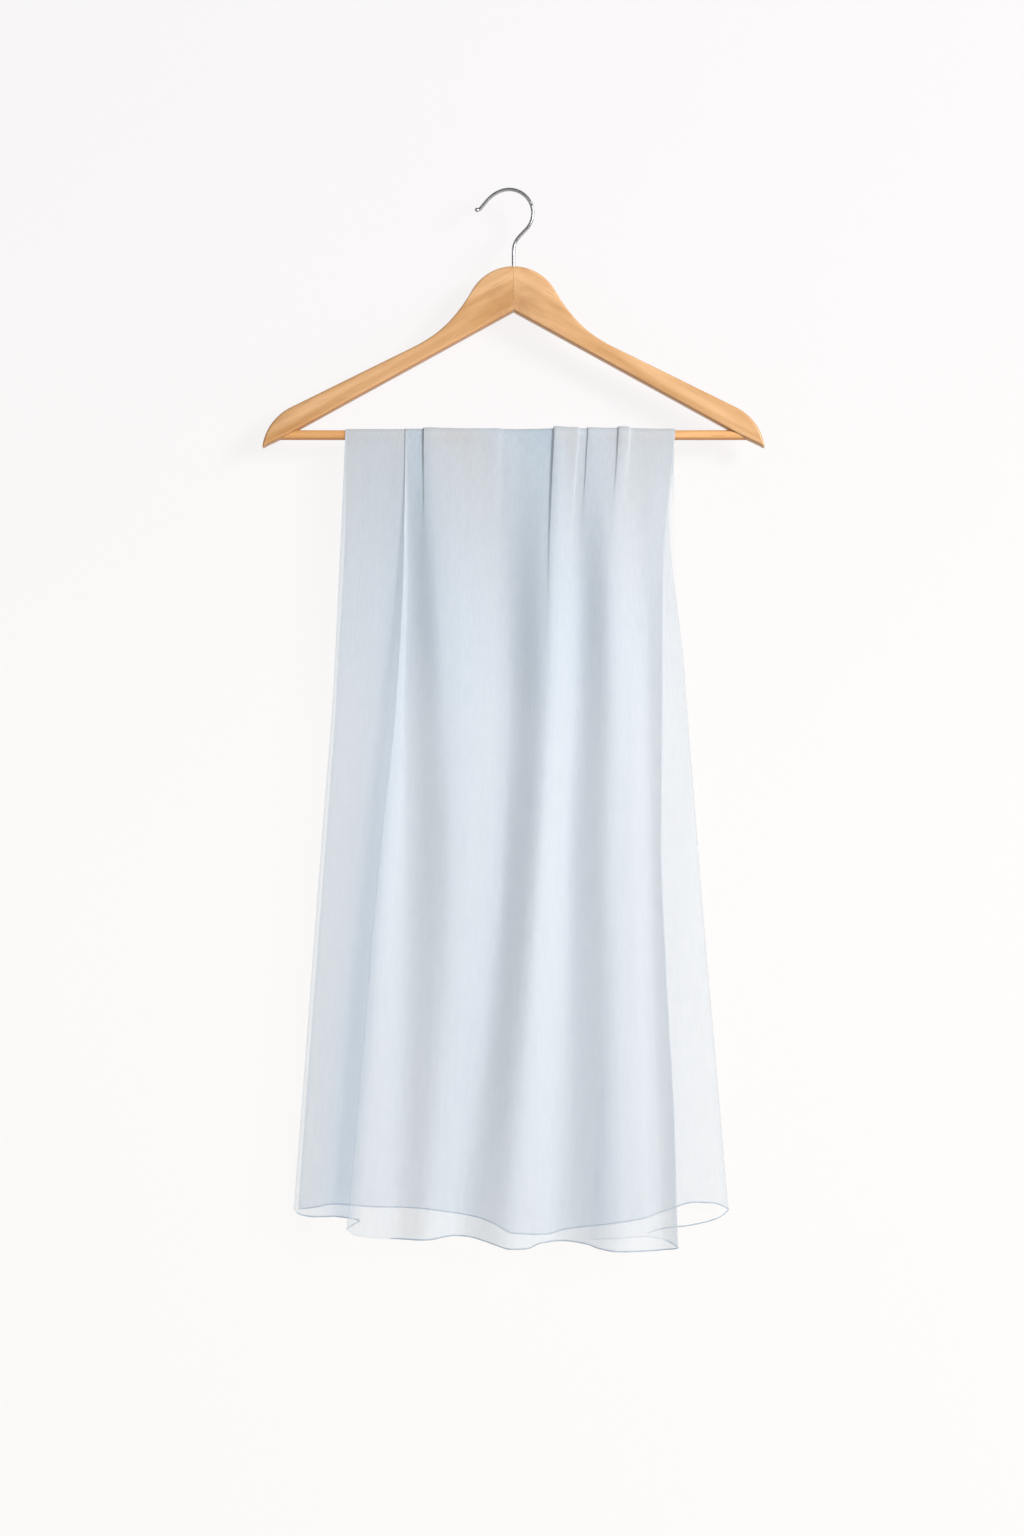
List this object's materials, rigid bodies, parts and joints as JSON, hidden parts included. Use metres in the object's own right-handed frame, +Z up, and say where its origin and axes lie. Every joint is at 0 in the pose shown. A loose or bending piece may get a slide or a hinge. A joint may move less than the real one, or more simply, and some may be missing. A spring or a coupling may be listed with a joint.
{
  "type": "gown on hanger",
  "caption": "Sheer gown length with rolled hems, draped over the trouser bar of a wooden hanger with a swivel wire hook.",
  "frame": {"origin": "the saddle: the point on the swivel's axis where the inside of the hook's bow rests on its rail", "axes": "+Z up along the swivel, +X towards the right shoulder, -Y to the front, the side with the longer fall"},
  "size_m": [0.444, 0.0404, 0.9413],
  "materials": {
    "shoulder_wood": "satin varnish over pale straight grain",
    "bar_wood": "satin varnish, warmer than the shoulders",
    "hook_wire": "bright plated wire",
    "plain_steel": "plain steel",
    "sheer_cloth": "sheer woven chiffon, pale blue",
    "hem_cloth": "rolled edge of the same cloth, denser"
  },
  "bodies": {
    "hanger": {"left_shoulder": "shoulder_wood", "right_shoulder": "shoulder_wood", "upper_seam_dowel": "bar_wood", "lower_seam_dowel": "bar_wood", "trouser_bar": "bar_wood", "left_brad": "plain_steel", "right_brad": "plain_steel", "hook_washer": "plain_steel"},
    "hook": {"hook": "hook_wire"},
    "gown": {"gown_turn": "sheer_cloth", "gown_front_fall": "sheer_cloth", "gown_back_fall": "sheer_cloth", "front_hem": "hem_cloth", "back_hem": "hem_cloth"}
  },
  "joints": [
    {"name": "hook_swivel", "type": "hinge", "parent": "hanger", "child": "hook", "pos_m": [0, 0, -0.0668], "axis": [0, 0, 1], "continuous": true},
    {"name": "gown_slide", "type": "slide", "parent": "hanger", "child": "gown", "axis": [1, 0, 0], "range_m": [-0.035, 0.04]}
  ]
}
